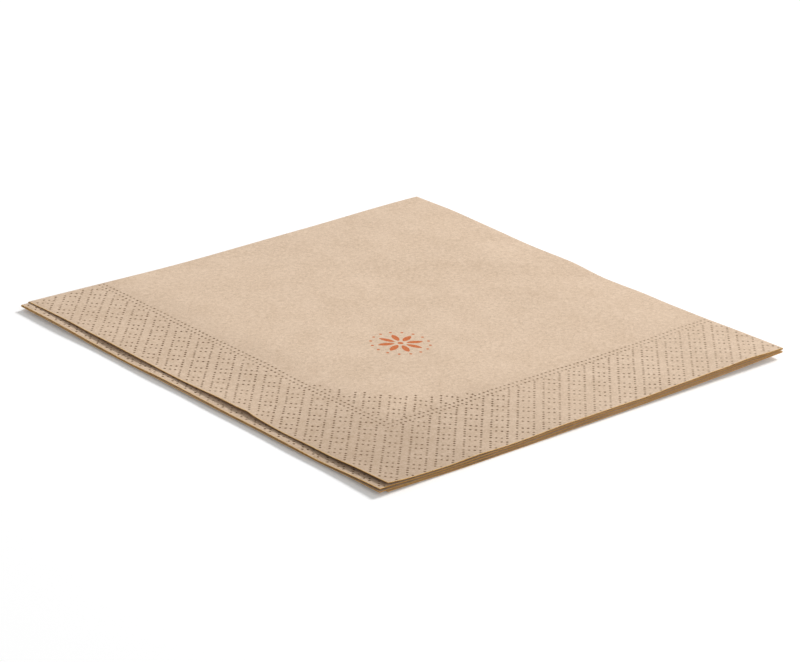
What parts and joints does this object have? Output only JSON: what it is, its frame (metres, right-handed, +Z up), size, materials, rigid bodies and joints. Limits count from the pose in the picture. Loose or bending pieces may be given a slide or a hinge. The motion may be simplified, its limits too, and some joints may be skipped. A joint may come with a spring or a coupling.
{
  "type": "paper napkin",
  "caption": "Soft kraft-brown tissue napkin folded in quarters into a flat square, with an embossed diamond border along its raw edges.",
  "frame": {"origin": "middle of the underside of the folded square, on the surface that it lies on", "axes": "+Z up through the layers; +X towards the side with the two single folds; +Y towards the side with the double fold; the raw edges are at -X and -Y"},
  "size_m": [0.165, 0.165, 0.0014],
  "materials": {
    "tissue": "matte, unbleached"
  },
  "bodies": {
    "root": {"napkin": "tissue"}
  },
  "joints": []
}
